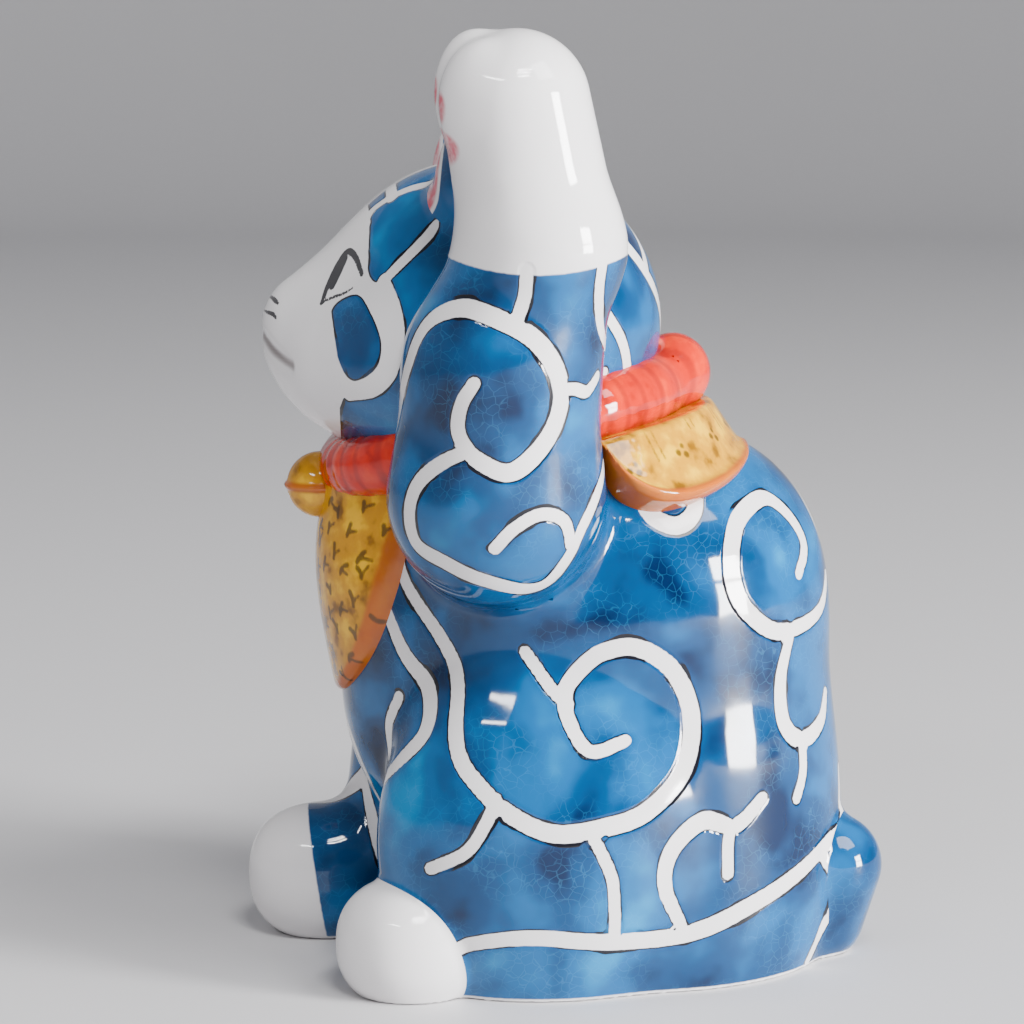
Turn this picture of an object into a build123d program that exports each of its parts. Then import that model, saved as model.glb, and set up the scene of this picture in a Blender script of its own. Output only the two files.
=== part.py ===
"""A glazed porcelain beckoning cat, about 118 mm tall, sitting with its left paw raised.

The cat faces -Y, its left side is +X, and +Z is up. The origin is on the table, in the
plane that the cat's body is symmetric about. The figurine is slip-cast: the body and the
head are hollow shells, the limbs, ears and collar pieces are pressed solid, and all are
luted together before firing. The luting joints between the pieces are thin gaps here.
"""
from build123d import *
import os

os.makedirs("parts", exist_ok=True)

# ---- driving dimensions, mm ----
wall = 3.5                      # the slip-cast walls
joint = 0.15                    # the luting joint between two pieces
base_thickness = 4.0            # the slab that closes the body, flush with its foot ring
vent_radius = 4.0               # lets the air out of the hollow in the kiln
base_section = (6.3, 25.2, 28.0)  # the body at the slab: middle in Y, half width, half depth

# Body: height, middle in Y, half width, half depth.
body_sections = (
    (0.0, 6.5, 23.8, 26.3),
    (10.0, 6.2, 26.0, 29.0),
    (24.0, 4.2, 26.4, 30.6),
    (38.0, 2.0, 25.8, 31.4),
    (50.0, 1.5, 24.4, 30.6),
    (58.0, 1.2, 22.0, 27.6),
    (64.0, 0.5, 18.0, 22.4),
    (67.5, -1.0, 13.0, 15.0),
)
haunch_centre = (17.5, -4.5, 18.0)
haunch_radii = (13.0, 20.5, 25.0)
shoulder_centre = (15.5, -8.5, 54.0)
shoulder_radii = (10.0, 13.0, 12.0)

# Head: place in Y, middle height, half width, half height.
head_sections = (
    (-38.8, 80.6, 3.2, 3.6),
    (-37.0, 80.6, 6.6, 7.0),
    (-33.0, 79.4, 11.0, 12.0),
    (-27.0, 80.2, 16.5, 15.2),
    (-20.0, 81.2, 20.6, 17.8),
    (-10.0, 81.8, 22.8, 19.6),
    (0.0, 80.4, 21.0, 17.2),
    (6.5, 79.2, 16.0, 13.4),
    (10.6, 78.2, 9.0, 7.6),
    (12.0, 77.8, 4.5, 3.8),
)
solid_snout_sections = 3        # the first sections, which the head's hollow leaves out
solid_nape_sections = 2         # and the last
ear_centre = (12.6, -11.3, 97.0)
ear_radii = (6.8, 6.2, 11.0)
ear_lean = 12                   # degrees, each ear leans outwards

# Raised arm: height, middle in X, middle in Y, radius.
arm_sections = (
    (48.6, 23.5, -10.2, 2.0),
    (50.0, 23.5, -10.2, 6.4),
    (53.5, 23.5, -10.2, 10.4),
    (62.0, 23.8, -10.2, 13.2),
    (74.0, 25.4, -10.3, 11.6),
    (84.0, 27.0, -8.0, 10.4),
    (92.0, 27.9, -5.2, 9.6),
    (100.0, 28.2, -6.4, 9.0),
    (108.0, 28.2, -8.4, 8.6),
    (114.4, 28.0, -9.2, 6.6),
    (118.0, 27.8, -9.2, 2.6),
)
toe_centres = ((24.2, -12.4, 109.4), (27.8, -12.9, 110.4), (31.2, -12.4, 109.4))
toe_radii = (3.7, 4.8, 7.0)

# Right foreleg: height, middle in X, middle in Y, radius.
foreleg_sections = (
    (0.0, -8.6, -21.0, 8.4),
    (16.0, -9.3, -20.0, 9.2),
    (32.0, -11.5, -19.0, 9.8),
    (46.0, -15.0, -14.0, 9.8),
    (56.0, -17.0, -10.0, 8.0),
)
front_paw_centre = (-8.5, -31.5, 7.6)
front_paw_radii = (8.4, 10.2, 9.0)
hind_foot_centre = (20.0, -20.5, 6.0)
hind_foot_radii = (9.0, 9.4, 8.2)
tail_centre = (4.0, 31.5, 8.0)
tail_radii = (8.0, 8.0, 11.0)

# Collar, measured in its own tilted plane where x is the cat's left and y is its back.
collar_centre = (0, -9, 67.8)
collar_tilt = 14.5              # degrees, lower at the throat
collar_radius = 20.0            # to the middle of the band
band_radius = 3.8
neck_radius = 17.5
neck_length = 8.0               # on each side of the collar's plane
neck_passage_radius = 7.0       # joins the hollows of the body and the head
knot_centre = (0, 22.6, 0.9)
knot_radius = 4.8
back_bib_profile = ((17.0, -1.0), (25.0, -1.5), (28.3, -10.2), (27.9, -11.9), (17.0, -11.9))
back_bib_sweep = 132            # degrees round the back of the neck
bib_half_width = 15.6
bib_top, bib_shoulder, bib_side, bib_tip = 60.8, 54.5, 43.0, 34.0  # heights down its edge
bib_tip_thickness, bib_top_thickness = 0.8, 5.2
bell_centre = (0, -31.8, 60.2)
bell_radius = 4.2
bell_slit = 1.0
bell_turn = 127                 # degrees, squares its flat back to the band behind and above it
bell_rim = 4                    # degrees of the ball kept behind its middle

collar_plane = Plane(origin=collar_centre, z_dir=(0, 0, 1)).rotated((collar_tilt, 0, 0))


# ---- helpers ----
def egg(centre, radii, lean=0, grow=0.0):
    """An ellipsoid with three radii, leaning sideways by lean degrees."""
    grown = tuple(radius + grow for radius in radii)
    ball = scale(Sphere(1, mode=Mode.PRIVATE), by=grown, mode=Mode.PRIVATE)
    return ball.moved(Location(centre, (0, lean, 0)))


def mirrored(point):
    """The same point on the cat's other side."""
    return (-point[0], point[1], point[2])


def limb(sections, grow=0.0):
    """A form through round level sections."""
    with BuildPart() as form:
        for height, x, y, radius in sections:
            with BuildSketch(Plane.XY.offset(height)):
                with Locations((x, y)):
                    Circle(radius + grow)
        loft()
    return form.part


def torso(sections, grow=0.0):
    """A form through oval level sections."""
    with BuildPart() as form:
        for height, y, half_width, half_depth in sections:
            with BuildSketch(Plane.XY.offset(height)):
                with Locations((0, y)):
                    Ellipse(half_width + grow, half_depth + grow)
        loft()
    return form.part


def skull(sections, grow=0.0):
    """A form through oval upright sections, from the nose to the nape."""
    with BuildPart() as form:
        for y, height, half_width, half_height in sections:
            with BuildSketch(Plane.XZ.offset(-y)):
                with Locations((0, height)):
                    Ellipse(half_width + grow, half_height + grow)
        loft()
    return form.part


def neck(radius, below, above):
    """A stub of the neck, square to the collar."""
    with BuildPart() as stub:
        with BuildSketch(collar_plane.offset(-below)):
            Circle(radius)
        extrude(amount=below + above)
    return stub.part


def body_form(grow=0.0):
    """The body's whole outer form up to the collar's plane."""
    with BuildPart() as form:
        add(torso(body_sections, grow))
        for centre in (haunch_centre, mirrored(haunch_centre)):
            add(egg(centre, haunch_radii, grow=grow))
        for centre in (shoulder_centre, mirrored(shoulder_centre)):
            add(egg(centre, shoulder_radii, grow=grow))
        add(neck(neck_radius + grow, neck_length, 0))
        split(bisect_by=collar_plane, keep=Keep.BOTTOM)
    return form.part


def head_form(grow=0.0):
    """The head's whole outer form down to the collar's plane."""
    with BuildPart() as form:
        add(skull(head_sections, grow))
        add(neck(neck_radius + grow, -joint, neck_length))
        split(bisect_by=collar_plane.offset(joint), keep=Keep.TOP)
    return form.part


def ball_form(centre, radius):
    """A ball with its poles at its left and right."""
    with BuildPart() as form:
        with Locations(Location(centre, (0, 90, 0))):
            Sphere(radius)
    return form.part


def band_form(grow=0.0):
    """The collar's band, a ring round the neck."""
    with BuildPart() as form:
        with Locations(collar_plane):
            Torus(collar_radius, band_radius + grow)
    return form.part


# ---- the neighbours that cut a joint into each piece ----
body_cutter = body_form(joint)
head_cutter = head_form(joint)
arm_cutter = limb(arm_sections, joint)
band_cutter = band_form(joint)

# ---- collar: the red band, its knot, the two bibs and the bell ----
with BuildPart() as collar_band:
    add(band_form())
    add(arm_cutter, mode=Mode.SUBTRACT)

with BuildPart() as collar_knot:
    add(ball_form(knot_centre, knot_radius).moved(collar_plane.location))
    add(band_cutter, mode=Mode.SUBTRACT)

with BuildPart() as back_bib_skirt:
    with BuildSketch(Plane.XZ.rotated((0, 0, (180 - back_bib_sweep) / 2))):
        with BuildLine():
            Polyline(*back_bib_profile, close=True)
        make_face()
    revolve(axis=Axis.Z, revolution_arc=back_bib_sweep)

with BuildPart() as back_bib:
    add(back_bib_skirt.part.moved(collar_plane.location))
    add(band_cutter, mode=Mode.SUBTRACT)
    add(ball_form(knot_centre, knot_radius + joint).moved(collar_plane.location), mode=Mode.SUBTRACT)
    add(body_cutter, mode=Mode.SUBTRACT)
    add(arm_cutter, mode=Mode.SUBTRACT)

bib_swell = (bib_top_thickness - bib_tip_thickness) / (bib_top - bib_tip)
bib_sections = tuple(
    (height, y, half_width + bib_tip_thickness + bib_swell * (height - bib_tip),
     half_depth + bib_tip_thickness + bib_swell * (height - bib_tip))
    for height, y, half_width, half_depth in body_sections[3:-1]
)
bib_sections = ((bib_tip - 1, 2.6, 26.2, 31.3 + bib_tip_thickness), *bib_sections)

with BuildPart() as front_bib:
    with BuildSketch(Plane.XZ):
        with BuildLine():
            edge = ThreePointArc((0, bib_tip), (0.72 * bib_half_width, bib_side),
                                 (bib_half_width, bib_shoulder))
            side = Line(edge @ 1, (bib_half_width - 2, bib_top))
            Line(side @ 1, (0, bib_top))
            mirror(about=Plane.YZ)
        make_face()
    extrude(amount=2 * body_sections[0][3])
    add(torso(bib_sections), mode=Mode.INTERSECT)
    add(torso(body_sections, joint), mode=Mode.SUBTRACT)
    add(band_cutter, mode=Mode.SUBTRACT)
    add(ball_form(bell_centre, bell_radius + joint), mode=Mode.SUBTRACT)

with BuildPart() as bell:
    with Locations(Location(bell_centre, (bell_turn, 0, 0))):
        Sphere(bell_radius, arc_size1=-bell_rim, align=(Align.CENTER, Align.CENTER, Align.NONE))
    with Locations((0, bell_centre[1] - bell_radius, bell_centre[2] - bell_radius)):
        Box(bell_slit, 2 * bell_radius, bell_radius, mode=Mode.SUBTRACT)

# ---- body: a hollow shell on a foot ring, closed by a slab with a vent ----
base_y, base_half_width, base_half_depth = base_section
hollow_top = (61.5, 1.0, 19.5, 24.5)
hollow_sections = (
    (base_thickness, *base_section),
    *(section for section in body_sections if base_thickness < section[0] < hollow_top[0]),
    hollow_top,
)

with BuildPart() as body_shell:
    add(body_form())
    split(bisect_by=Plane.XY, keep=Keep.TOP)
    add(torso(hollow_sections, -wall), mode=Mode.SUBTRACT)
    with BuildSketch():
        with Locations((0, base_y)):
            Ellipse(base_half_width - wall, base_half_depth - wall)
    extrude(amount=base_thickness, mode=Mode.SUBTRACT)
    add(neck(neck_passage_radius, neck_length, 1), mode=Mode.SUBTRACT)
    add(band_cutter, mode=Mode.SUBTRACT)

with BuildPart() as base_plate:
    with BuildSketch():
        with Locations((0, base_y)):
            Ellipse(base_half_width - wall - joint, base_half_depth - wall - joint)
            Circle(vent_radius, mode=Mode.SUBTRACT)
    extrude(amount=base_thickness)

with BuildPart() as tail:
    add(egg(tail_centre, tail_radii))
    split(bisect_by=Plane.XY, keep=Keep.TOP)
    add(body_cutter, mode=Mode.SUBTRACT)

# ---- head and ears ----
with BuildPart() as head_shell:
    add(head_form())
    add(skull(head_sections[solid_snout_sections:-solid_nape_sections], -wall), mode=Mode.SUBTRACT)
    add(neck(neck_passage_radius, 1, neck_length), mode=Mode.SUBTRACT)
    add(band_cutter, mode=Mode.SUBTRACT)

with BuildPart() as left_ear:
    add(egg(ear_centre, ear_radii, ear_lean))
    add(head_cutter, mode=Mode.SUBTRACT)
    add(arm_cutter, mode=Mode.SUBTRACT)

with BuildPart() as right_ear:
    add(egg(mirrored(ear_centre), ear_radii, -ear_lean))
    add(head_cutter, mode=Mode.SUBTRACT)

# ---- limbs ----
with BuildPart() as raised_left_arm:
    add(limb(arm_sections))
    add(torso(body_sections, joint), mode=Mode.SUBTRACT)
    add(egg(shoulder_centre, shoulder_radii, grow=joint), mode=Mode.SUBTRACT)
    add(head_cutter, mode=Mode.SUBTRACT)
    for toe in toe_centres:
        add(egg(toe, toe_radii))

with BuildPart() as right_foreleg:
    add(limb(foreleg_sections))
    add(egg(front_paw_centre, front_paw_radii))
    split(bisect_by=Plane.XY, keep=Keep.TOP)
    add(body_cutter, mode=Mode.SUBTRACT)
    add(front_bib.part, mode=Mode.SUBTRACT)

with BuildPart() as left_hind_foot:
    add(egg(hind_foot_centre, hind_foot_radii))
    split(bisect_by=Plane.XY, keep=Keep.TOP)
    add(body_cutter, mode=Mode.SUBTRACT)

with BuildPart() as right_hind_foot:
    add(egg(mirrored(hind_foot_centre), hind_foot_radii))
    split(bisect_by=Plane.XY, keep=Keep.TOP)
    add(body_cutter, mode=Mode.SUBTRACT)
    add(limb(foreleg_sections, joint), mode=Mode.SUBTRACT)

# ---- each piece, named and written ----
pieces = {
    "body_shell": body_shell,
    "base_plate": base_plate,
    "head_shell": head_shell,
    "left_ear": left_ear,
    "right_ear": right_ear,
    "raised_left_arm": raised_left_arm,
    "right_foreleg": right_foreleg,
    "left_hind_foot": left_hind_foot,
    "right_hind_foot": right_hind_foot,
    "tail": tail,
    "collar_band": collar_band,
    "collar_knot": collar_knot,
    "back_bib": back_bib,
    "front_bib": front_bib,
    "bell": bell,
}
for name, piece in pieces.items():
    piece.part = max(piece.part.solids(), key=lambda solid: solid.volume)
    piece.part.label = name
    export_step(piece.part, f"parts/{name}.step")
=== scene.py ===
"""Looks of the glazed beckoning cat.

Each piece is a distance field in millimetres, meshed on a grid and settled onto the exact
surface. Pieces that are one glazed skin on the real cat are cut from one blended field, so
they meet in a seam that doesn't show. The painting is kept as distances at the vertices.
"""
import math
import bpy
import numpy as np
import openvdb
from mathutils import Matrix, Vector
from mathutils.kdtree import KDTree


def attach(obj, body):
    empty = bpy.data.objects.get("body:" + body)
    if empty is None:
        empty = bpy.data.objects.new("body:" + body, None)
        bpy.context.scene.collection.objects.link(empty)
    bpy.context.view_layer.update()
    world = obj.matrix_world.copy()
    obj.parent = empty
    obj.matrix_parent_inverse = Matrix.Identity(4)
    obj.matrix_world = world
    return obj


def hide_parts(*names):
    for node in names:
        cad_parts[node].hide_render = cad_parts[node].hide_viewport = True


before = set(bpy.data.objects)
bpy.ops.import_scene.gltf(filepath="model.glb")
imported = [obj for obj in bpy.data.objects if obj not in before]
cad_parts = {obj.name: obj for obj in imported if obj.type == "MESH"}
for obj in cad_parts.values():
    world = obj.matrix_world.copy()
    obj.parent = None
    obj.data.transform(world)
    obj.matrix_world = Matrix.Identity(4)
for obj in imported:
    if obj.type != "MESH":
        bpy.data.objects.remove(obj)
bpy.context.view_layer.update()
MM = 0.001
F = np.float32

# ---------------------------------------------------------------- camera
AIM = Vector((0.0, -0.0075, 0.0565))
CAMERA_AZIMUTH = math.radians(88)   # almost a pure left profile
CAMERA_DISTANCE = 0.43
CAMERA_HEIGHT = 0.120
VIEW_ANGLE = math.radians(17)


def make_camera():
    data = bpy.data.cameras.new("camera")
    data.angle = VIEW_ANGLE
    camera = bpy.data.objects.new("camera", data)
    bpy.context.scene.collection.objects.link(camera)
    away = Vector((math.sin(CAMERA_AZIMUTH), -math.cos(CAMERA_AZIMUTH), 0)) * CAMERA_DISTANCE
    camera.location = (AIM.x + away.x, AIM.y + away.y, CAMERA_HEIGHT)
    camera.rotation_mode = "QUATERNION"
    camera.rotation_quaternion = (AIM - camera.location).to_track_quat("-Z", "Y")
    bpy.context.scene.camera = camera


# ---------------------------------------------------------------- distance fields, mm
def vec(*numbers):
    return np.array(numbers, F)


def length(p):
    return np.sqrt((p * p).sum(-1))


def turn(axis, degrees):
    c, s = math.cos(math.radians(degrees)), math.sin(math.radians(degrees))
    if axis == "x":
        return np.array([[1, 0, 0], [0, c, -s], [0, s, c]], F)
    return np.array([[c, 0, s], [0, 1, 0], [-s, 0, c]], F)


def ellipsoid(p, centre, radii, leaning=None):
    q = p - vec(*centre)
    if leaning is not None:
        q = q @ leaning
    r = vec(*radii)
    k0 = length(q / r)
    k1 = length(q / (r * r))
    return k0 * (k0 - 1) / np.maximum(k1, 1e-6)


def superegg(p, centre, radii, power):
    """Round in plan, boxier than an ellipsoid in height as the power goes above 2."""
    q = np.abs((p - vec(*centre)) / vec(*radii))
    rho = np.maximum(np.sqrt(q[..., 0] ** 2 + q[..., 1] ** 2), 1e-6)
    g = np.maximum((rho ** power + q[..., 2] ** power) ** (1 / power), 1e-6)
    plan = (rho / g) ** (power - 1)
    steepness = np.stack([plan * q[..., 0] / rho, plan * q[..., 1] / rho, (q[..., 2] / g) ** (power - 1)], -1)
    return (g - 1) / np.maximum(length(steepness / vec(*radii)), 1e-4)


def round_cone(p, a, b, r1, r2):
    """A rod with a ball of its own radius at each end."""
    a, b = vec(*a), vec(*b)
    ba = b - a
    l2 = float(ba @ ba)
    rr = r1 - r2
    a2 = l2 - rr * rr
    pa = p - a
    y = pa @ ba
    z = y - l2
    x2 = ((pa * l2 - y[..., None] * ba) ** 2).sum(-1)
    y2 = y * y * l2
    z2 = z * z * l2
    k = np.sign(rr) * rr * rr * x2
    d = (np.sqrt(x2 * a2 / l2) + y * rr) / l2 - r1
    d = np.where(np.sign(y) * a2 * y2 < k, np.sqrt(x2 + y2) / l2 - r1, d)
    return np.where(np.sign(z) * a2 * z2 > k, np.sqrt(x2 + z2) / l2 - r2, d)


def merge(a, b, k):
    """The union of two forms with a fillet about k wide."""
    h = np.clip(0.5 + 0.5 * (b - a) / k, 0, 1)
    return b * (1 - h) + a * h - k * h * (1 - h)


def carve(a, b, k):
    """What is in both forms, with the edge rounded by about k."""
    return -merge(-a, -b, k)


def both_sides(p):
    q = p.copy()
    q[..., 0] = np.abs(p[..., 0])
    return q


# ---------------------------------------------------------------- the cat's forms
COLLAR_CENTRE, COLLAR_TILT, COLLAR_RADIUS = (0, -9, 67.8), 14.5, 20.0
COLLAR_TURN = turn("x", COLLAR_TILT)
NECK_RADIUS = 17.5
ELBOW, FOREARM, WRIST, PAW = (23.6, -10.2, 62), (25.8, -9.6, 78), (27.9, -5.0, 92), (28.2, -8.0, 108.8)


def collar_space(p):
    return (p - vec(*COLLAR_CENTRE)) @ COLLAR_TURN


def neck(p):
    q = collar_space(p)
    return np.maximum(np.hypot(q[..., 0], q[..., 1]) - NECK_RADIUS, np.abs(q[..., 2]) - 9)


def torso(p):
    s = both_sides(p)
    d = superegg(p, (0, 1.8, 40), (25, 31.2, 29), 2.7)
    d = merge(d, superegg(p, (0, 7.5, 13), (25, 27.4, 27), 2.4), 8)
    d = merge(d, round_cone(p, (16, -8.5, 56), (-16, -8.5, 56), 9, 9), 6)
    d = merge(d, neck(p), 3)
    return merge(d, ellipsoid(s, (17.5, -4.5, 18), (13, 20.3, 25)), 3)


def arm(p):
    d = merge(round_cone(p, ELBOW, FOREARM, 13.2, 10.9), round_cone(p, FOREARM, WRIST, 10.9, 9.4), 4)
    d = merge(d, round_cone(p, WRIST, PAW, 9.4, 8.7), 3)
    toes = ellipsoid(p, (27.7, -12.7, 110.2), (3.7, 4.8, 7.2))
    for x in (24.2, 31.2):
        toes = merge(toes, ellipsoid(p, (x, -12.2, 109), (3.7, 4.8, 7)), 0.8)
    return merge(d, toes, 1.5)


def skull(p):
    s = both_sides(p)
    d = merge(ellipsoid(p, (0, -9.8, 81), (22.6, 21, 20)), neck(p), 3)
    d = merge(d, round_cone(p, (0, -14, 83.5), (0, -32.3, 80.8), 15, 6.2), 5)
    d = merge(d, ellipsoid(p, (0, -20.5, 76.5), (18, 17, 11.5)), 5)
    d = merge(d, ellipsoid(s, (12.5, -14, 77), (11.5, 14, 11)), 5)
    mouth_groove = round_cone(s, (0.6, -40.2, 79.6), (9.5, -36, 76), 1.1, 0.7)
    return carve(d, -mouth_groove, 1.2)


def ear(p, side):
    return ellipsoid(p, (12.6 * side, -11.2, 97.2), (6.6, 6.3, 10.8), turn("y", 12 * side))


def foreleg(p):
    shoulder, elbow, ankle = (-17, -10, 54), (-13, -17, 38), (-9.3, -20.2, 14)
    d = merge(round_cone(p, shoulder, elbow, 9, 9.6), round_cone(p, elbow, ankle, 9.6, 9), 4)
    return merge(d, superegg(p, (-8.5, -31.5, 7.8), (8.5, 10.2, 9), 2.4), 4)


def hind_foot(p, side):
    return superegg(p, (20 * side, -20.5, 6), (9, 9.4, 8.2), 2.3)


def tail(p):
    return round_cone(p, (3, 31, 5), (6, 33, 12), 6.8, 6.4)


SKIN = {
    "body_shell": torso,
    "raised_left_arm": arm,
    "head_shell": skull,
    "left_ear": lambda p: ear(p, 1),
    "right_ear": lambda p: ear(p, -1),
    "right_foreleg": foreleg,
    "left_hind_foot": lambda p: hind_foot(p, 1),
    "right_hind_foot": lambda p: hind_foot(p, -1),
    "tail": tail,
}
FILLETS = {"raised_left_arm": 3, "head_shell": 1, "left_ear": 3, "right_ear": 3, "right_foreleg": 2,
           "left_hind_foot": 1, "right_hind_foot": 1, "tail": 2}


def whole(p):
    """The one glazed skin that all the limbs share."""
    d = torso(p)
    for name, fillet in FILLETS.items():
        d = merge(d, SKIN[name](p), fillet)
    return np.maximum(d, -p[..., 2])


def share(name):
    """Negative where a point belongs to this piece rather than to a neighbour."""
    def field(p):
        others = [form(p) for other, form in SKIN.items() if other != name]
        return (SKIN[name](p) - np.minimum.reduce(others)) * 0.5
    return field


# ---------------------------------------------------------------- meshing
def slope(field, p, step=0.03):
    """The field's gradient."""
    parts = []
    for axis in np.eye(3, dtype=F):
        parts.append((field(p + axis * step) - field(p - axis * step)) / (2 * step))
    return np.stack(parts, -1)


def settle(p, fields, cell, passes=5):
    """Moves vertices onto the surface, or onto the edge where two surfaces meet."""
    for _ in range(passes):
        distances = np.stack([field(p) for field in fields])
        near = distances > distances.max(0) - 0.5 * cell
        for field, mine in zip(fields, near):
            if not mine.any():
                continue
            g = slope(field, p[mine])
            size = np.maximum((g * g).sum(-1), 0.05)
            move = g * (field(p[mine]) / size)[..., None]
            limit = np.maximum(length(move) / (0.6 * cell), 1)
            p[mine] -= move / limit[..., None]
    return p


def evaluate(fields, axes):
    """The deepest of the fields on a grid, slab by slab."""
    out = np.empty([len(a) for a in axes], F)
    y, z = np.meshgrid(axes[1], axes[2], indexing="ij")
    slab = 16
    for start in range(0, len(axes[0]), slab):
        xs = axes[0][start:start + slab]
        p = np.empty((len(xs), *y.shape, 3), F)
        p[..., 0] = xs[:, None, None]
        p[..., 1] = y
        p[..., 2] = z
        out[start:start + slab] = np.maximum.reduce([field(p) for field in fields])
    return out


def sculpt(name, fields, low, high, cell):
    """One closed mesh of what lies inside all the fields. Returns the object and its points in mm."""
    low = vec(*low) - 2 * cell
    axes = [np.arange(a, b + 3 * cell, cell, dtype=F) for a, b in zip(low, high)]
    grid = openvdb.FloatGrid(3.0)
    grid.copyFromArray(evaluate(fields, axes))
    points, quads = grid.convertToQuads(0.0)
    p = settle(points.astype(F) * cell + low, fields, cell)
    quads = np.asarray(quads, np.int64)
    a, b, c, d = (p[quads[:, i]] for i in range(4))
    volume = (np.cross(c - a, d - b) * (a + b + c + d)).sum()
    if volume < 0:
        quads = quads[:, ::-1]
    mesh = bpy.data.meshes.new(name)
    mesh.vertices.add(len(p))
    mesh.vertices.foreach_set("co", (p * MM).ravel())
    mesh.loops.add(quads.size)
    mesh.loops.foreach_set("vertex_index", quads.ravel().astype(np.int32))
    mesh.polygons.add(len(quads))
    mesh.polygons.foreach_set("loop_start", np.arange(0, quads.size, 4, dtype=np.int32))
    mesh.polygons.foreach_set("loop_total", np.full(len(quads), 4, np.int32))
    mesh.update(calc_edges=True)
    mesh.validate()
    mesh.polygons.foreach_set("use_smooth", np.ones(len(mesh.polygons), bool))
    shade(mesh, p, quads, fields)
    piece = bpy.data.objects.new(name, mesh)
    bpy.context.scene.collection.objects.link(piece)
    return piece, p


def shade(mesh, p, quads, fields):
    """Exact normals, each face from the surface that it lies on."""
    centre = p[quads].mean(1)
    owner = np.argmin(np.stack([np.abs(field(centre)) for field in fields]), 0)
    normals = np.stack([slope(field, p) for field in fields])
    loops = normals[owner[:, None], quads].reshape(-1, 3)
    loops /= np.maximum(length(loops), 1e-6)[:, None]
    if len(mesh.loops) == len(loops):
        mesh.normals_split_custom_set(loops.tolist())


def keep(piece, node):
    """Stands a piece in for its CAD node."""
    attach(piece, "root")
    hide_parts(node)


def attribute(piece, name, values):
    layer = piece.data.attributes.new(name, "FLOAT", "POINT")
    layer.data.foreach_set("value", np.ascontiguousarray(values, F))


# ---------------------------------------------------------------- the collar's forms
BAND_RISE = 1.3                                       # how much higher the band rides at its sides
BIB_TIP, BIB_SHOULDER, BIB_TOP, BIB_HALF_WIDTH = 34.0, 54.0, 61.5, 15.6
BIB_EDGE, BIB_TIP_THICKNESS, BIB_SWELL = 1.3, 0.7, 0.185      # mm, mm, and mm thicker per mm higher
SKIRT_TOP, SKIRT_RIM = (25.0, -1.5), (28.5, -11.3)    # out from the neck's axis, and along it
SKIRT_REACH = 65                                      # degrees each way from the nape
SKIRT_BEAD = 0.7
SKIRT_FACE = (0.6, 1.1)                               # from that line to the drawn-on face
BELL_CENTRE, BELL_RADIUS = (0, -31.8, 60.2), 4.2


def gathers(round_neck):
    """From 1 on a ridge of the band's gathers to -1 in a fold."""
    return np.cos(40 * round_neck + 1.5 * np.sin(7 * round_neck))


def band(p):
    """A gathered cloth ring, thicker at the nape."""
    q = collar_space(p)
    out = np.hypot(q[..., 0], q[..., 1])
    round_neck = np.arctan2(q[..., 0], q[..., 1])
    tube = 4.1 + 0.25 * q[..., 1] / COLLAR_RADIUS
    rise = BAND_RISE * np.sin(round_neck) ** 2
    return np.hypot((out - COLLAR_RADIUS) * 1.05, q[..., 2] - rise) - tube - 0.04 * gathers(round_neck)


def knot(p):
    q = collar_space(p)
    return ellipsoid(q, (0, 22.9, 0.9), (5.4, 4.6, 4.9))


def red_cloth(p):
    return merge(band(p), knot(p), 2.2)


def knot_first(p):
    """Negative where the red cloth belongs to the knot rather than to the band."""
    return (knot(p) - band(p)) * 0.5


def skirt_reach(p):
    """How far a point is past the back bib's rim, and above its face."""
    q = collar_space(p)
    top, rim = np.array(SKIRT_TOP), np.array(SKIRT_RIM)
    along = (rim - top) / np.hypot(*(rim - top))
    out, up = np.hypot(q[..., 0], q[..., 1]) - top[0], q[..., 2] - top[1]
    turned = np.degrees(np.arctan2(np.abs(q[..., 0]), q[..., 1])) / SKIRT_REACH
    lobe = 1 + 0.15 * np.sin(np.clip(turned * 1.4, 0, 1) * math.pi / 2)
    room = np.hypot(*(rim - top)) * lobe * np.sqrt(np.clip(1 - turned ** 8, 0, 1))
    return out * along[0] + up * along[1] - room, out * -along[1] + up * along[0]


def skirt(p):
    past, above = skirt_reach(p)
    bead = SKIRT_BEAD * np.exp(-((past + 0.9) / 0.8) ** 2)
    q = collar_space(p)
    under_band = q[..., 2] + 3.3 - BAND_RISE * np.sin(np.arctan2(q[..., 0], q[..., 1])) ** 2
    face = carve((above - 0.8 - bead) * 0.9, past * 0.9, 1.0)
    return carve(carve(face, under_band, 0.8), -7 - above, 0.5)


def shield(p):
    """The front bib's outline, negative inside."""
    x = np.abs(p[..., 0]) / BIB_HALF_WIDTH
    low = np.maximum(BIB_SHOULDER - p[..., 2], 0) / (BIB_SHOULDER - BIB_TIP)
    return np.maximum((np.sqrt(x ** 2 + low ** 2.6) - 1) * 13, p[..., 2] - BIB_TOP)


def front_bib(p):
    middle = BIB_TIP_THICKNESS + BIB_SWELL * np.maximum(p[..., 2] - BIB_TIP, 0)
    across = np.clip(1 - (p[..., 0] / BIB_HALF_WIDTH) ** 2, 0, 1)
    thick = np.minimum(middle, BIB_EDGE) + np.maximum(middle - BIB_EDGE, 0) * across ** 0.8
    return np.maximum(carve(torso(p) - thick, shield(p), 1.0), p[..., 1] + 8)


def bell(p):
    """A round bell with a raised seam, and a slit with round ends beneath."""
    q = p - vec(*BELL_CENTRE)
    ball = length(q) - BELL_RADIUS
    seam = np.hypot(np.hypot(q[..., 0], q[..., 1]) - BELL_RADIUS, q[..., 2]) - 0.35
    slit = np.maximum(np.abs(q[..., 0]) - 0.4, q[..., 2] + 1.2)
    ends = length(q - vec(0, -BELL_RADIUS + 0.6, -1.4)) - 0.8
    cut = np.maximum(np.minimum(slit, ends), -1.1 - ball)
    return np.maximum(merge(ball, seam, 0.5), -cut)


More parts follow.
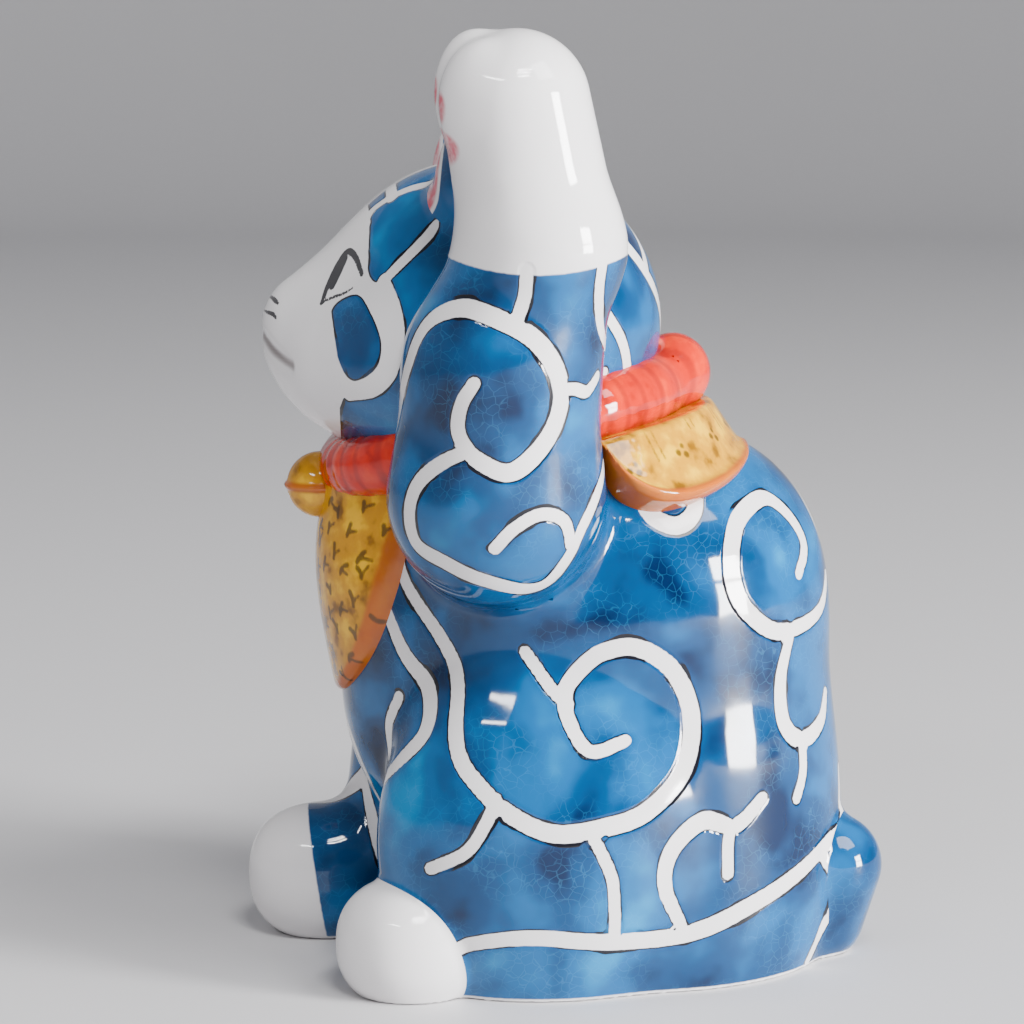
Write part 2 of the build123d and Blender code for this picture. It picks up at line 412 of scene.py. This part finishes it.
def hollow(p):
    """The air inside the body, open to the slab's seat."""
    return np.maximum(torso(p) + 3.5, 4 - p[..., 2])


def slab_seat(p):
    q = p - vec(0, 6.3, 0)
    oval = np.sqrt((q[..., 0] / 21.7) ** 2 + (q[..., 1] / 24.5) ** 2)
    return np.maximum((oval - 1) * 21.7, q[..., 2] - 4)


def outside(field, overlap=0.0):
    return lambda p: -field(p) - overlap


# ---------------------------------------------------------------- the painted vines
BODY_AXIS, ARM_AXIS, LEG_AXIS, HEAD_AXIS = (0, 2), (25, -8), (-9.5, -20), (0, -9)
BRUSH, SWELL = 0.80, 0.38   # half the width of a vine's ends, and how much wider its middle is, mm
TWIG = 120                  # points along a line; shorter vines have no swell
FAR = 6.0                   # mm, kept as the distance where no paint is near

# Each vine is a smooth line through (degrees round the form from its front, height).
FLANK = (
    ((31, 55), (34, 51), (46, 44.5), (52, 39.5), (57, 31.5), (63, 27.5), (71, 24), (80, 22), (91, 22.5),
     (102, 24), (113, 28.5), (116, 35), (111, 40.5), (101, 43.5), (91, 43), (84, 40.5), (81, 38), (83, 34.5),
     (88, 31.5), (97, 32.5)),
    ((82, 37), (78, 38.5), (70, 43)),
    ((67, 26), (65, 23), (61, 19.5), (53, 17)),
    ((88, 22), (93, 16), (94, 8.5)),
    ((56, 6.5), (62, 8), (75, 9), (94, 8), (115, 8), (133, 11), (153, 15), (168, 18.5), (172, 24)),
    ((113, 8.5), (107, 14.5), (109, 19), (118, 22), (127, 21), (135, 24)),
    ((126, 21), (125, 19), (125, 15)),
    ((156, 15), (160, 8.5), (156, 1)),
)
NAPE = (
    ((153, 50.5), (159, 54), (156, 58), (149, 60), (136, 58), (130, 53.5), (131, 48.5), (140, 44.5),
     (150, 44), (163, 45.5), (172, 49)),
    ((148, 44), (144, 38), (144, 32.5), (150, 30), (160, 31.5), (165, 34.5)),
    ((150, 30), (149, 26), (146, 23)),
    ((103, 64), (105, 61.5), (108, 59), (115, 57.8), (122, 59.3), (127, 63)),
)
CHEST = (
    ((29, 47), (36, 41.5), (44, 37.5), (47, 33), (41, 29), (33, 25.5)),
    ((34, 36), (30, 32), (31, 28.5)),
    ((0, 32), (8, 28), (10, 22), (3, 17)),
)
RIGHT_SHOULDER = (
    ((-100, 60), (-85, 62), (-68, 60), (-56, 55), (-54, 48.5), (-64, 44), (-77, 45.5), (-82, 51),
     (-75, 54.5)),
    ((-58, 46), (-48, 42), (-44, 36)),
)
SPINE = (
    ((180, 62), (176, 56), (180, 50), (184, 44), (180, 38), (178, 31), (181, 27)),
)
RAISED_ARM = (
    ((-60, 62), (-35, 63.5), (-16, 67), (5, 72.5), (22, 78.5), (33, 83.5), (57, 85.5), (83, 84),
     (101, 81.5), (113, 77.5), (115, 74), (108, 70.5), (94, 67.5), (83, 66.5), (71, 67.5), (62, 69),
     (57, 71.5), (60, 74.5), (67, 77)),
    ((62, 69), (48, 67.5), (34, 65), (28, 62), (28, 57.5), (43, 55.5), (62, 53.5), (93, 52), (121, 52.5),
     (131, 55.5), (137, 59), (152, 62.5), (176, 66)),
    ((129, 57.5), (120, 60.5), (104, 61.5), (88, 60), (76, 57.5)),
    ((89, 84.3), (93, 87), (94, 90)),
    ((133, 92), (134, 88), (140, 85), (152, 82), (170, 80)),
    ((115, 76), (125, 76), (137, 75.5), (150, 77)),
)
RIGHT_FORELEG = (
    ((66, 34), (57, 30), (50, 25), (36, 21.5), (14, 19), (-8, 16.5), (-28, 18), (-50, 24), (-58, 31),
     (-40, 34)),
    ((40, 20.5), (57, 15), (68, 9)),
    ((50, 25), (30, 27), (22, 31)),
    ((-50, 24), (-72, 22), (-84, 14), (-74, 7)),
)
HEAD_BACK = (
    ((136, 99), (141, 95), (148, 91.2), (157, 87.6), (170, 82), (176, 76)),
    ((112, 93), (118, 89), (124, 84), (133, 79.5), (141, 74)),
    ((180, 99), (180, 95), (172, 91.5), (158, 87.5)),
)
# On the sides of the head, seen from that side: (place in Y, height).
HEAD_SIDE = (
    ((-26.4, 92.6), (-24.6, 95.4), (-20, 97.9), (-14, 98.8), (-8, 100)),
    ((-22.5, 96.6), (-22.8, 98.6)),
    ((-13.0, 97.0), (-16.5, 94.2), (-20, 90.8), (-23, 87.8), (-24.5, 86.2)),
    ((-23.6, 87.4), (-22.4, 84), (-22.1, 80.5), (-22.9, 77), (-25, 74.5), (-28, 73.4)),
    ((-17, 83.5), (-12, 88.5), (-6, 89.5), (-1.5, 85.5), (-3.5, 80.5), (-9, 79.5), (-11, 83)),
    ((-18, 73), (-12, 75.5), (-4, 74.5), (3, 76)),
)
CHEEK_DROP = ((-30, 83.2), (-26.9, 85.4), (-25.0, 83.2), (-23.9, 80), (-24.6, 77), (-27.4, 75.3),
              (-29.2, 78.0))
BROW_PATCH = ((-25.3, 93.3), (-23.6, 95.2), (-19.5, 96.7), (-14.4, 97.4), (-14.6, 95.4), (-22.4, 89.6),
              (-24.3, 87.0), (-25.5, 88.4))
EYE_TOP = ((-31.2, 84.0), (-30.4, 86.2), (-29.1, 88.8), (-28.0, 90.2), (-27.0, 89.6), (-26.2, 87.7))
EYE_IRIS = ((-29.9, 86.0), (-29.1, 87.9), (-28.3, 89.3))
EYE_BOTTOM = ((-31.0, 84.2), (-29.8, 84.8), (-28.4, 85.4), (-27.2, 86.2))
NOSE = ((-38.6, 84.1), (-37.5, 84.0), (-36.7, 83.4))
NOSTRIL = ((-38.6, 82.3), (-37.5, 82.2), (-36.9, 81.7))
# Painted shade: a soft dark line along the mouth groove under the muzzle, where the carved groove lies in
# shadow.
MOUTH_SHADE_LINE = ((-38.6, 79.2), (-37.4, 77.8), (-36.2, 77.0), (-34.8, 76.3))


def smooth_line(points, steps=24):
    """A Catmull-Rom curve through the points."""
    p = np.array(points, float)
    p = np.vstack([2 * p[0] - p[1], p, 2 * p[-1] - p[-2]])
    t = np.linspace(0, 1, steps, endpoint=False)[:, None]
    out = []
    for a, b, c, d in zip(p, p[1:], p[2:], p[3:]):
        square, cube = (2 * a - 5 * b + 4 * c - d) * t ** 2, (3 * b - a - 3 * c + d) * t ** 3
        out.append(0.5 * (2 * b + (c - a) * t + square + cube))
    return np.vstack([*out, p[-2:-1]])


def land(form, start, direction, steps=90):
    """Where rays first meet a form."""
    p = start.astype(F)
    for _ in range(steps):
        d = form(p)
        p = p + direction * np.clip(d, -2, 4)[:, None] * 0.8
    return p[np.abs(form(p)) < 0.1]


def wrap(form, axis, line):
    """A line drawn round an upright axis."""
    curve = smooth_line(line)
    turned = np.radians(curve[:, 0])
    outward = np.stack([np.sin(turned), -np.cos(turned), np.zeros(len(curve))], -1).astype(F)
    start = outward * 45 + np.column_stack([np.tile(axis, (len(curve), 1)), curve[:, 1]])
    return land(form, start, -outward)


def beside(form, line, side):
    """A line drawn on a form's left or right, as seen from that side."""
    curve = smooth_line(line)
    start = np.column_stack([np.full(len(curve), 45.0 * side), curve])
    return land(form, start, vec(-side, 0, 0))


def facing(form, line):
    """A line drawn on a form's front: (place in X, height)."""
    curve = smooth_line(line)
    start = np.column_stack([curve[:, 0], np.full(len(curve), -60.0), curve[:, 1]])
    return land(form, start, vec(0, 1, 0))


def mirrored(line):
    return tuple((-turned, height) for turned, height in line)


def brushed(points):
    """The points of a vine with half its width at each, narrowing to its ends."""
    t = np.linspace(0, math.pi, len(points))
    swell = SWELL * np.sin(t) if len(points) > TWIG else np.zeros(len(points))
    return points, BRUSH + swell


def vines():
    """Every vine, by the piece that it is painted on."""
    around = {
        "body_shell": (torso, BODY_AXIS, (*FLANK, *NAPE, *CHEST, *RIGHT_SHOULDER, *SPINE,
                                          *map(mirrored, (*FLANK, *NAPE[:3])))),
        "raised_left_arm": (arm, ARM_AXIS, RAISED_ARM),
        "right_foreleg": (foreleg, LEG_AXIS, RIGHT_FORELEG),
        "head_shell": (skull, HEAD_AXIS, (*HEAD_BACK, *map(mirrored, HEAD_BACK))),
    }
    drawn = {}
    for node, (form, axis, lines) in around.items():
        drawn[node] = [brushed(wrap(form, axis, line)) for line in lines]
    drawn["head_shell"] += [brushed(beside(skull, line, side)) for line in HEAD_SIDE for side in (1, -1)]
    return drawn


def ink_lines():
    """The black brushwork of the face, each line with half its width."""
    strokes = ((EYE_TOP, 0.50), (EYE_IRIS, 0.74), (EYE_BOTTOM, 0.27), (NOSE, 0.32), (NOSTRIL, 0.30))
    lines = []
    for side in (1, -1):
        for line, width in strokes:
            points = beside(skull, line, side)
            t = np.linspace(0, math.pi, len(points))
            lines.append((points, width * (0.65 + 0.35 * np.sin(t))))
    return lines


def unpainted(p):
    return np.full(len(p), FAR, F)


def distance_to(lines, p):
    """About the distance in mm to the nearest edge of brushed lines, smooth across their middles."""
    if not lines:
        return unpainted(p)
    points = np.concatenate([points for points, _ in lines])
    half = np.concatenate([np.broadcast_to(width, len(points)) for points, width in lines])
    tree = KDTree(len(points))
    for i, point in enumerate(points.tolist()):
        tree.insert(point, i)
    tree.balance()
    out = unpainted(p)
    for i, point in enumerate(p.tolist()):
        _, index, distance = tree.find(point)
        width = half[index]
        if distance < 2 * width:
            out[i] = (distance ** 2 - width ** 2) / (2 * width)
        elif distance < FAR:
            out[i] = distance - width / 2
    return out


def inside(p, outline):
    """Distance in mm to a smooth closed outline in the (Y, Z) plane, negative inside."""
    steps = 8
    before, after = 2, 3    # corners repeated at each end, so that the curve runs on smoothly
    corners = [*outline[-before:], *outline, *outline[:after]]
    curve = smooth_line(corners, steps)[before * steps:-after * steps]
    y, z = p[..., 1], p[..., 2]
    nearest, crossings = np.full(y.shape, 1e9), np.zeros(y.shape, int)
    for a, b in zip(curve, np.roll(curve, -1, axis=0)):
        if np.allclose(a, b):
            continue
        t = np.clip(((y - a[0]) * (b[0] - a[0]) + (z - a[1]) * (b[1] - a[1])) / ((b - a) @ (b - a)), 0, 1)
        nearest = np.minimum(nearest, np.hypot(y - a[0] - t * (b[0] - a[0]), z - a[1] - t * (b[1] - a[1])))
        if a[1] != b[1]:
            meets = a[0] + (z - a[1]) / (b[1] - a[1]) * (b[0] - a[0])
            crossings += ((a[1] > z) != (b[1] > z)) & (y < meets)
    return np.where(crossings % 2 == 1, -nearest, nearest)


def face_mask(p):
    """Negative on the white of the face, outside its blue cheek drops and brow patches."""
    height = (66, 71.5, 73.0, 74.5, 78, 84, 86.5, 90, 93, 95.5, 99)
    edge = (-29, -29, -28.5, -24, -22.5, -22.5, -23.8, -25.0, -25.0, -25.5, -25.5)
    mask = p[..., 1] - np.interp(p[..., 2], height, edge)
    patches = np.minimum(inside(p, CHEEK_DROP), inside(p, BROW_PATCH))
    blaze = np.abs(p[..., 0]) - 1.6 + np.maximum(p[..., 1] + 14, 0) * 0.2
    return np.minimum(np.maximum(mask, -patches), blaze)


PADS = (((24.4, -18.0, 109.0), (1.6, 2.4, 2.0)), ((28.0, -18.4, 110.2), (1.6, 2.4, 2.0)),
        ((31.7, -17.6, 108.4), (1.7, 2.4, 2.0)), ((29.0, -16.4, 103.8), (5.0, 3.4, 2.2)))


def paint(piece, p, node, drawn):
    """Stores what the painter put at each vertex, and the painted shade along the mouth groove, as distances
    in mm.
    """
    vine = distance_to([line for line in drawn.get(node, ()) if len(line[0])], p)
    white, ink, pad = unpainted(p), unpainted(p), unpainted(p)
    if node == "head_shell":
        vine = np.minimum(vine, face_mask(p))
        ink = distance_to(ink_lines(), p)
        # The mouth groove's painted shade: the distance to its line, and how strongly it is darkened.
        mouth_groove = distance_to([(beside(skull, MOUTH_SHADE_LINE, side), 0.45) for side in (1, -1)], p)
        attribute(piece, "mouth_groove", mouth_groove)
        attribute(piece, "mouth_groove_shade_strength", np.ones(len(p), F))
    if node == "raised_left_arm":
        white = 89.5 + 0.015 * (p[..., 1] + 6) ** 2 - p[..., 2]
        pad = np.minimum.reduce([ellipsoid(p, centre, radii) for centre, radii in PADS])
    if node == "right_foreleg":
        white = p[..., 1] + 32.6 + 0.15 * (p[..., 2] - 8)
    if node in ("body_shell", "tail", "right_foreleg"):
        white = np.minimum(white, p[..., 2] - 0.5)
    if "hind_foot" in node:
        white = -unpainted(p)
    if "ear" in node:
        pad = ellipsoid(both_sides(p), (12.2, -18.6, 99), (3.4, 3.2, 6.0), turn("y", 12))
        white = pad - 0.7
    for name, values in (("vine", vine), ("white", white), ("ink", ink), ("pad", pad)):
        attribute(piece, name, values)


# ---------------------------------------------------------------- materials
class Nodes:
    """A short way to write a material's nodes."""

    def __init__(self, name):
        self.material = bpy.data.materials.new(name)
        self.material.use_nodes = True
        self.tree = self.material.node_tree
        self.shader = self.tree.nodes["Principled BSDF"]

    def put(self, socket, value):
        if isinstance(value, bpy.types.NodeSocket):
            self.tree.links.new(value, socket)
        else:
            socket.default_value = value

    def math(self, operation, a, b):
        node = self.tree.nodes.new("ShaderNodeMath")
        node.operation = operation
        self.put(node.inputs[0], a)
        self.put(node.inputs[1], b)
        return node.outputs[0]

    def step(self, value, low, high, start=0.0, end=1.0):
        node = self.tree.nodes.new("ShaderNodeMapRange")
        node.interpolation_type = "SMOOTHSTEP"
        for socket, given in zip(node.inputs, (value, low, high, start, end)):
            self.put(socket, given)
        return node.outputs[0]

    def stored(self, name):
        node = self.tree.nodes.new("ShaderNodeAttribute")
        node.attribute_name = name
        return node.outputs["Fac"]

    def place(self, rotation=(0, 0, 0)):
        where = self.tree.nodes.new("ShaderNodeTexCoord")
        node = self.tree.nodes.new("ShaderNodeMapping")
        self.tree.links.new(where.outputs["Object"], node.inputs["Vector"])
        node.inputs["Rotation"].default_value = rotation
        return node.outputs[0]

    def noise(self, size_mm, detail=3.0, roughness=0.5, at=None, distortion=0.0):
        node = self.tree.nodes.new("ShaderNodeTexNoise")
        self.put(node.inputs["Vector"], at or self.place())
        node.inputs["Scale"].default_value = 1 / (size_mm * MM)
        node.inputs["Detail"].default_value = detail
        node.inputs["Roughness"].default_value = roughness
        node.inputs["Distortion"].default_value = distortion
        return node.outputs["Fac"]

    def cracks(self, size_mm):
        """Distance to the nearest crack of the glaze."""
        wobble = self.tree.nodes.new("ShaderNodeTexNoise")
        wobble.inputs["Scale"].default_value = 1 / (2.5 * MM)
        self.put(wobble.inputs["Vector"], self.place())
        shift = self.tree.nodes.new("ShaderNodeVectorMath")
        shift.operation = "MULTIPLY_ADD"
        self.put(shift.inputs[0], wobble.outputs["Color"])
        shift.inputs[1].default_value = (1.4 * MM,) * 3
        self.put(shift.inputs[2], self.place())
        node = self.tree.nodes.new("ShaderNodeTexVoronoi")
        node.feature = "DISTANCE_TO_EDGE"
        node.inputs["Scale"].default_value = 1 / (size_mm * MM)
        self.put(node.inputs["Vector"], shift.outputs[0])
        return node.outputs["Distance"]

    def mix(self, factor, a, b):
        node = self.tree.nodes.new("ShaderNodeMix")
        node.data_type = "RGBA"
        self.put(node.inputs[0], factor)
        self.put(node.inputs[6], a if isinstance(a, bpy.types.NodeSocket) else (*a, 1))
        self.put(node.inputs[7], b if isinstance(b, bpy.types.NodeSocket) else (*b, 1))
        return node.outputs[2]

    def ramp(self, factor, stops):
        node = self.tree.nodes.new("ShaderNodeValToRGB")
        node.color_ramp.interpolation = "EASE"
        while len(node.color_ramp.elements) < len(stops):
            node.color_ramp.elements.new(0.5)
        for element, (place, colour) in zip(node.color_ramp.elements, stops):
            element.position = place
            element.color = (*colour, 1)
        self.put(node.inputs[0], factor)
        return node.outputs[0]

    def bump(self, height, depth_mm):
        node = self.tree.nodes.new("ShaderNodeBump")
        node.inputs["Strength"].default_value = 1.0
        node.inputs["Distance"].default_value = depth_mm * MM
        self.put(node.inputs["Height"], height)
        self.put(self.shader.inputs["Normal"], node.outputs[0])

    def gloss(self, roughness):
        self.shader.inputs["Roughness"].default_value = roughness
        self.shader.inputs["IOR"].default_value = 1.5


PORCELAIN = (0.74, 0.72, 0.73)
INK = (0.006, 0.006, 0.010)


def painted_glaze():
    """White porcelain under blue enamel, with resist vines, ink outlines, pink pads and painted shade along
    the mouth groove.
    """
    n = Nodes("painted_glaze")
    cloud = n.noise(14, 1.5, 0.5, distortion=0.5)
    wash = n.noise(6, 2, 0.5)
    tone = n.math("ADD", n.math("MULTIPLY", cloud, 0.72), n.math("MULTIPLY", wash, 0.28))
    blue = n.ramp(tone, ((0.34, (0.000, 0.010, 0.045)), (0.44, (0.000, 0.040, 0.130)),
                         (0.56, (0.000, 0.090, 0.260)), (0.70, (0.000, 0.190, 0.440))))
    crack = n.step(n.cracks(1.25), 0.0, 0.05, 1.0, 0.0)
    crackle = n.math("MULTIPLY", crack, n.step(n.noise(9, 1), 0.42, 0.6, 0.0, 0.14))
    blue = n.mix(crackle, blue, (0.04, 0.30, 0.60))
    ragged = n.math("MULTIPLY", n.math("SUBTRACT", n.noise(0.9, 1), 0.5), 0.08)
    vine = n.math("ADD", n.stored("vine"), ragged)
    white = n.math("ADD", n.stored("white"), n.math("MULTIPLY", ragged, 1.6))
    pooled = n.step(vine, 0.0, 1.4, 0.35, 0.0)
    blue = n.mix(pooled, blue, (0.000, 0.045, 0.16))
    bare = n.mix(n.noise(7, 2), PORCELAIN, (0.79, 0.77, 0.77))
    # Painted shade: the white darkened to brown-grey along the mouth groove, standing in for the shadow in
    # it.
    mouth_groove = n.step(n.stored("mouth_groove"), -0.5, 0.7, n.math("MULTIPLY", n.stored("mouth_groove_shade_strength"), 0.9), 0.0)
    bare = n.mix(mouth_groove, bare, (0.085, 0.050, 0.045))
    enamel = n.math("MINIMUM", n.step(vine, -0.06, 0.06), n.step(white, -0.10, 0.16))
    colour = n.mix(enamel, bare, blue)
    weight = n.noise(5.5, 2, 0.5)
    width = n.step(weight, 0.46, 0.70, 0.14, 0.60)
    reach = n.step(n.math("SUBTRACT", vine, width), 0.0, 0.07, 1.0, 0.0)
    line = n.math("MULTIPLY", n.step(vine, -0.05, 0.03), reach)
    broken = n.step(n.noise(6.5, 2, 0.5, at=n.place(rotation=(0.6, 0.4, 1.0))), 0.34, 0.42)
    line = n.math("MULTIPLY", n.math("MULTIPLY", line, broken), n.step(white, 0.0, 0.2))
    colour = n.mix(line, colour, INK)
    blush = n.step(n.stored("pad"), -0.5, 0.3, 1.0, 0.0)
    blush = n.math("MULTIPLY", blush, n.step(n.noise(1.6, 2), 0.25, 0.6, 0.55, 1.0))
    colour = n.mix(blush, colour, (0.62, 0.085, 0.13))
    colour = n.mix(n.step(n.math("ADD", n.stored("ink"), ragged), -0.04, 0.06, 0.95, 0.0), colour, INK)
    n.put(n.shader.inputs["Base Color"], colour)
    enamel_step = n.math("MULTIPLY", n.step(vine, -0.1, 0.5), 0.5)
    n.bump(n.math("ADD", enamel_step, n.math("MULTIPLY", n.noise(7, 1), 0.9)), 0.12)
    n.gloss(0.06)
    return n.material


def plain_glaze():
    """Glazed porcelain with nothing painted on it."""
    n = Nodes("white_glaze")
    n.put(n.shader.inputs["Base Color"], n.mix(n.noise(7, 2), PORCELAIN, (0.79, 0.77, 0.77)))
    n.bump(n.noise(6, 1), 0.08)
    n.gloss(0.06)
    return n.material


def red_enamel():
    """Red brushed over the gathers, darker in their folds."""
    n = Nodes("red_enamel")
    reds = ((0.3, (0.34, 0.004, 0.000)), (0.5, (0.58, 0.012, 0.000)), (0.75, (0.74, 0.036, 0.003)))
    colour = n.ramp(n.noise(3.5, 3), reds)
    colour = n.mix(n.math("MULTIPLY", n.stored("fold"), 0.55), colour, (0.28, 0.008, 0.006))
    n.put(n.shader.inputs["Base Color"], colour)
    n.bump(n.noise(2.2, 2), 0.08)
    n.gloss(0.08)
    return n.material


def amber_enamel():
    """Thin amber over white, with an orange rim and black flowers and pleats drawn on it."""
    n = Nodes("amber_enamel")
    ambers = ((0.3, (0.20, 0.080, 0.000)), (0.48, (0.56, 0.250, 0.000)), (0.7, (0.82, 0.450, 0.001)))
    colour = n.ramp(n.noise(3.2, 3), ambers)
    colour = n.mix(n.step(n.stored("rim"), 0.5, 1.1, 0.9, 0.0), colour, (0.44, 0.085, 0.004))
    ragged = n.math("MULTIPLY", n.math("SUBTRACT", n.noise(0.7, 2), 0.5), 0.25)
    drawn = n.step(n.math("ADD", n.stored("ink"), ragged), -0.10, 0.25, 0.85, 0.0)
    colour = n.mix(drawn, colour, (0.060, 0.030, 0.002))
    n.put(n.shader.inputs["Base Color"], colour)
    n.bump(n.noise(2.5, 2), 0.08)
    n.gloss(0.08)
    return n.material


def bare_porcelain():
    """The unglazed slab under the cat, fine-grained and a little dusty."""
    n = Nodes("bare_porcelain")
    n.put(n.shader.inputs["Base Color"], n.mix(n.noise(2.5, 4), (0.58, 0.54, 0.48), (0.72, 0.69, 0.64)))
    n.bump(n.noise(0.25, 3), 0.03)
    n.shader.inputs["Roughness"].default_value = 0.75
    return n.material


# ---------------------------------------------------------------- making the cat
CELL = 0.6
FINE = 0.3
SKIN_BOXES = {
    "body_shell": ((-32, -32, 0), (32, 40, 77)),
    "raised_left_arm": ((8, -26, 46), (39, 6, 119)),
    "head_shell": ((-25, -41, 58), (25, 14, 104)),
    "left_ear": ((3, -20, 88), (24, 0, 111)),
    "right_ear": ((-24, -20, 88), (-3, 0, 111)),
    "right_foreleg": ((-30, -44, 0), (4, 2, 66)),
    "left_hind_foot": ((8, -32, 0), (32, -8, 16)),
    "right_hind_foot": ((-32, -32, 0), (-8, -8, 16)),
    "tail": ((-8, 20, 0), (16, 42, 22)),
}


def make_skin():
    """All the pieces under the one painted glaze."""
    glaze, plain = painted_glaze(), plain_glaze()
    drawn = vines()
    for node, box in SKIN_BOXES.items():
        fields = [whole, share(node)]
        if node == "body_shell":
            fields += [outside(hollow), outside(slab_seat)]
        cell = {"body_shell": CELL, "head_shell": 0.65 * CELL}.get(node, 0.8 * CELL)
        piece, p = sculpt(node + "_glazed", fields, *box, cell)
        paint(piece, p, node, drawn)
        foot = "hind_foot" in node
        piece.data.materials.append(plain if foot else glaze)
        keep(piece, node)


def make_collar():
    """The red band with its knot."""
    red = red_enamel()
    cloth = [red_cloth, outside(whole, 0.5)]
    pieces = {
        "collar_band": (outside(knot_first), ((-26, -36, 56), (26, 16, 80))),
        "collar_knot": (knot_first, ((-7, 4, 66), (7, 20, 82))),
    }
    for node, (border, box) in pieces.items():
        piece, p = sculpt(node + "_glazed", [*cloth, border], *box, FINE)
        q = collar_space(p)
        round_neck = np.arctan2(q[..., 0], q[..., 1])
        attribute(piece, "fold", np.clip(-gathers(round_neck) * 2 - 0.9, 0, 1))
        piece.data.materials.append(red)
        keep(piece, node)


def make_gold():
    """The two bibs and the bell, with their brushwork."""
    amber = amber_enamel()
    behind = [outside(whole, 0.6), outside(red_cloth, 0.4)]
    pieces = {
        "back_bib": ([skirt, *behind], ((-31, -14, 54), (31, 24, 75))),
        "front_bib": ([front_bib, *behind], ((-21, -36, 32), (21, -8, 63))),
        "bell": ([bell, outside(red_cloth, 0.3), outside(front_bib, 0.3)], ((-6, -37, 55), (6, -25, 67))),
    }
    rng = np.random.default_rng(7)
    for node, (fields, box) in pieces.items():
        piece, p = sculpt(node + "_glazed", fields, *box, FINE)
        if node == "back_bib":
            rim = -0.7 - skirt_reach(p)[0]
            lines = back_bib_brushwork()
        elif node == "front_bib":
            rim = -shield(p)
            lines = front_bib_brushwork(rng)
        else:
            rim = np.abs(p[..., 2] - BELL_CENTRE[2]) + 0.2
            lines = []
        attribute(piece, "rim", rim)
        attribute(piece, "ink", distance_to(lines, p))
        piece.data.materials.append(amber)
        keep(piece, node)


def on_skirt(down, degrees, rise=0.0):
    """Points on the back bib's face: parts of the way down it, and degrees round from the nape."""
    top, rim = np.array(SKIRT_TOP), np.array(SKIRT_RIM)
    out = top + (rim - top) * down[:, None] + np.array(SKIRT_FACE)
    turned = math.radians(degrees)
    local = np.stack([out[:, 0] * math.sin(turned), out[:, 0] * math.cos(turned), out[:, 1] + rise], -1)
    return local @ COLLAR_TURN.T + vec(*COLLAR_CENTRE)


def back_bib_brushwork():
    """Pleats from the collar and small flowers between them."""
    lines = []
    for degrees in range(-68, 69, 17):
        long = 0.62 if degrees % 2 else 0.42
        for shift in (-2.2, 0.0):
            lines.append((on_skirt(np.linspace(0.02, long, 24), degrees + shift), 0.13))
        for petal in range(3):
            turned = degrees + 8 + 1.6 * math.cos(petal * 2.1)
            lines.append((on_skirt(np.array([0.62]), turned, 0.7 * math.sin(petal * 2.1)), 0.42))
    return lines


def front_bib_brushwork(rng):
    """Leaves scattered down the bib, each two short strokes from one stem."""
    lines = []
    for row, z in enumerate(np.arange(37, 59, 2.6)):
        for x in np.arange(-13, 13.1, 3.6) + 1.8 * (row % 2):
            x, z_here = x + rng.uniform(-0.7, 0.7), z + rng.uniform(-0.7, 0.7)
            lean = rng.uniform(-0.9, 0.9)
            for leaf, width in ((0.0, 0.30), (0.8, 0.17)):
                a = lean + leaf
                reach = rng.uniform(1.1, 1.8)
                middle = (x + 0.5 * reach * math.sin(a * 0.5), z_here + 0.5 * reach * math.cos(a * 0.5))
                tip = (x + reach * math.sin(a), z_here + reach * math.cos(a))
                lines.append((facing(front_bib, ((x, z_here), middle, tip)), width))
    return [line for line in lines if len(line[0])]


# ---------------------------------------------------------------- stage
def make_stage():
    """A pale floor that curves up into a pale wall all round, open to a soft sky."""
    reach, bend, height, sides = 1.4, 0.9, 1.5, 96
    turns = np.linspace(-math.pi / 2, 0, 24)
    profile = [(0.001, 0.0), *((reach + bend * math.cos(t), bend + bend * math.sin(t)) for t in turns),
               (reach + bend, height)]
    corners, faces = [], []
    for i in range(sides):
        angle = 2 * math.pi * i / sides
        corners += [(r * math.cos(angle), r * math.sin(angle), z) for r, z in profile]
        for j in range(len(profile) - 1):
            here, there = i * len(profile) + j, (i + 1) % sides * len(profile) + j
            faces.append((here, there, there + 1, here + 1))
    mesh = bpy.data.meshes.new("floor")
    mesh.from_pydata(corners, [], faces)
    mesh.shade_smooth()
    floor = bpy.data.objects.new("floor", mesh)
    bpy.context.scene.collection.objects.link(floor)
    n = Nodes("floor")
    n.shader.inputs["Base Color"].default_value = (0.62, 0.61, 0.62, 1)
    n.shader.inputs["Roughness"].default_value = 0.6
    mesh.materials.append(n.material)
    world = bpy.data.worlds.new("room")
    world.use_nodes = True
    world.node_tree.nodes["Background"].inputs["Color"].default_value = (0.80, 0.84, 0.92, 1)
    world.node_tree.nodes["Background"].inputs["Strength"].default_value = 0.26
    bpy.context.scene.world = world


def make_light(name, place, size, power, colour=(1, 1, 1)):
    """A rectangular light that faces the cat."""
    data = bpy.data.lights.new(name, "AREA")
    data.shape = "RECTANGLE"
    data.size, data.size_y = size
    data.energy = power
    data.color = colour
    light = bpy.data.objects.new(name, data)
    bpy.context.scene.collection.objects.link(light)
    light.location = place
    light.rotation_mode = "QUATERNION"
    light.rotation_quaternion = (AIM - light.location).to_track_quat("-Z", "Y")


def make_lights():
    for low, high in ((0.00, 0.17), (0.19, 0.36)):
        make_light("window", (0.48, 0.84, (low + high) / 2), (0.24, high - low), 15.0)
    make_light("sky", (0.55, 0.75, 1.1), (0.6, 0.6), 15.0)
    for x in (0.46, 0.54, 0.66):
        make_light("tube", (x, 0.12, 0.72), (0.26, 0.010), 1.8)
    make_light("strip", (0.9, -0.6, 0.9), (0.40, 0.04), 3.0)


make_camera()
make_stage()
make_lights()
make_skin()
make_collar()
make_gold()
base = bpy.data.objects["base_plate"]
base.data.materials.clear()
base.data.materials.append(bare_porcelain())
